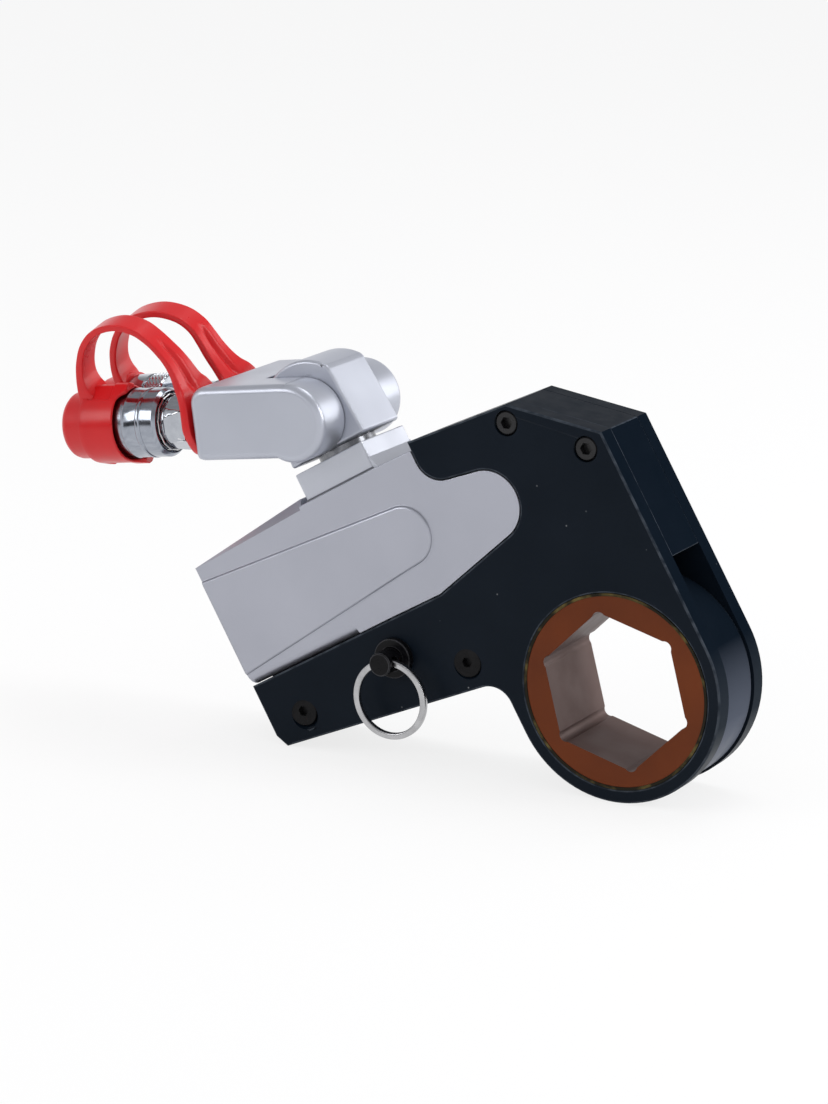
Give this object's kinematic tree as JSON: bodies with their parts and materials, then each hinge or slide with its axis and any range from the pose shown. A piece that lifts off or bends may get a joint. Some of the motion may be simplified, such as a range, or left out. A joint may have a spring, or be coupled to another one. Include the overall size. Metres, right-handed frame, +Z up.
{
  "type": "hydraulic torque wrench",
  "caption": "Low-profile hydraulic torque wrench with a through-hexagon ratchet link, a power head, a tilting swivel with capped quick couplers and a lock pin with a pull ring.",
  "frame": {"origin": "middle of the ratchet's through hexagon, half way through the link", "axes": "+Y along the hexagon's axis, away from the pull-ring side; +Z up, standing on nose and foot; +X from the couplers to the nose"},
  "size_m": [0.2729, 0.0598, 0.1558],
  "materials": {
    "plate_black": "satin black coating with a blue cast",
    "head_silver": "satin bead-blasted",
    "swivel_silver": "satin machined",
    "ratchet_copper": "copper-coloured coating on steel",
    "bush_bronze": "machined bronze",
    "steel": "ground steel",
    "coupler_chrome": "polished plating",
    "seal_black": "matte black rubber",
    "cap_red": "semi-gloss moulded red",
    "screw_black": "black oxide"
  },
  "bodies": {
    "link": {"front_plate": "plate_black", "rear_plate": "plate_black", "top_spacer": "plate_black", "heel_spacer": "plate_black", "tail_spacer": "plate_black", "front_bush": "bush_bronze", "rear_bush": "bush_bronze", "corner_screws": "screw_black", "tail_screws": "screw_black", "cylinder_body": "head_silver", "end_cap": "steel", "end_cap_seal": "seal_black", "gland_nut": "bush_bronze", "rod_seal": "seal_black", "rod_wiper": "seal_black", "lock_collar": "screw_black", "lock_spring": "steel", "neck_flange": "head_silver", "neck_gasket": "seal_black", "neck_screws": "screw_black"},
    "lever": {"drive_lever": "steel", "drive_pin": "steel", "pawl_springs": "steel"},
    "pawl": {"drive_pawl": "steel"},
    "ratchet": {"ratchet_wheel": "ratchet_copper"},
    "piston": {"piston": "steel", "piston_seal": "seal_black", "wear_ring": "bush_bronze", "piston_rod": "steel", "rod_end": "steel"},
    "lock_pin": {"lock_pin": "screw_black"},
    "pull_ring": {"pull_ring": "steel"},
    "swivel": {"swivel_post": "steel", "post_seals": "seal_black", "post_retainer": "steel", "knuckle": "swivel_silver"},
    "yoke": {"manifold_yoke": "swivel_silver", "tilt_shaft": "steel", "tilt_seals": "seal_black", "tilt_plug": "steel", "near_coupler_body": "coupler_chrome", "far_coupler_body": "coupler_chrome", "near_strap": "cap_red", "far_strap": "cap_red", "near_poppet_spring": "steel", "far_poppet_spring": "steel", "sleeve_spring": "steel"},
    "near_sleeve": {"near_sleeve": "coupler_chrome"},
    "near_poppet": {"near_poppet": "bush_bronze"},
    "near_cap": {"near_cap": "cap_red"},
    "far_collar": {"far_collar": "coupler_chrome"},
    "far_poppet": {"far_poppet": "bush_bronze"},
    "far_cap": {"far_cap": "cap_red"}
  },
  "joints": [
    {"name": "lever_swing", "type": "hinge", "parent": "link", "child": "lever", "pos_m": [0, 0, 0], "axis": [0, 1, 0], "range_deg": [0, 24]},
    {"name": "piston_stroke", "type": "slide", "parent": "link", "child": "piston", "axis": [0.866, 0, 0.5], "range_m": [0, 0.03248]},
    {"name": "ratchet_index", "type": "hinge", "parent": "lever", "child": "ratchet", "pos_m": [0, 0, 0], "axis": [0, 1, 0], "continuous": true},
    {"name": "pawl_lift", "type": "slide", "parent": "lever", "child": "pawl", "axis": [-0.6691, 0, 0.7431], "range_m": [0, 0.0018], "stiffness_N_per_m": 1500, "deforming": ["pawl_springs"]},
    {"name": "lock_pin_pull", "type": "slide", "parent": "link", "child": "lock_pin", "axis": [0, -1, 0], "range_m": [0, 0.0056], "stiffness_N_per_m": 600, "deforming": ["lock_spring"]},
    {"name": "pull_ring_swing", "type": "hinge", "parent": "lock_pin", "child": "pull_ring", "pos_m": [-0.08738, -0.026, 0.00035], "axis": [-0.986, 0, -0.1668], "range_deg": [-10, 110]},
    {"name": "swivel_turn", "type": "hinge", "parent": "link", "child": "swivel", "pos_m": [-0.12509, 0, 0.08366], "axis": [-0.5, 0, 0.866], "continuous": true},
    {"name": "yoke_tilt", "type": "hinge", "parent": "swivel", "child": "yoke", "pos_m": [-0.12509, 0, 0.08366], "axis": [0, 1, 0], "range_deg": [-20, 140]},
    {"name": "near_sleeve_pull", "type": "slide", "parent": "yoke", "child": "near_sleeve", "axis": [0.9903, 0, 0.1392], "range_m": [0, 0.004], "stiffness_N_per_m": 1200, "deforming": ["sleeve_spring"]},
    {"name": "near_poppet_push", "type": "slide", "parent": "yoke", "child": "near_poppet", "axis": [0.9903, 0, 0.1392], "range_m": [0, 0.003], "stiffness_N_per_m": 600, "deforming": ["near_poppet_spring"]},
    {"name": "near_cap_pull", "type": "slide", "parent": "yoke", "child": "near_cap", "axis": [-0.9903, 0, -0.1392], "range_m": [0, 0.03], "deforming": ["near_strap"]},
    {"name": "far_collar_turn", "type": "hinge", "parent": "yoke", "child": "far_collar", "pos_m": [-0.20233, 0.015, 0.07281], "axis": [-0.9903, 0, -0.1392], "continuous": true},
    {"name": "far_poppet_push", "type": "slide", "parent": "yoke", "child": "far_poppet", "axis": [0.9903, 0, 0.1392], "range_m": [0, 0.003], "stiffness_N_per_m": 600, "deforming": ["far_poppet_spring"]},
    {"name": "far_cap_pull", "type": "slide", "parent": "yoke", "child": "far_cap", "axis": [-0.9903, 0, -0.1392], "range_m": [0, 0.03], "deforming": ["far_strap"]}
  ],
  "couplings": [
    {"joint": "piston_stroke", "follows": "lever_swing", "m_per_rad": 0.077431}
  ]
}
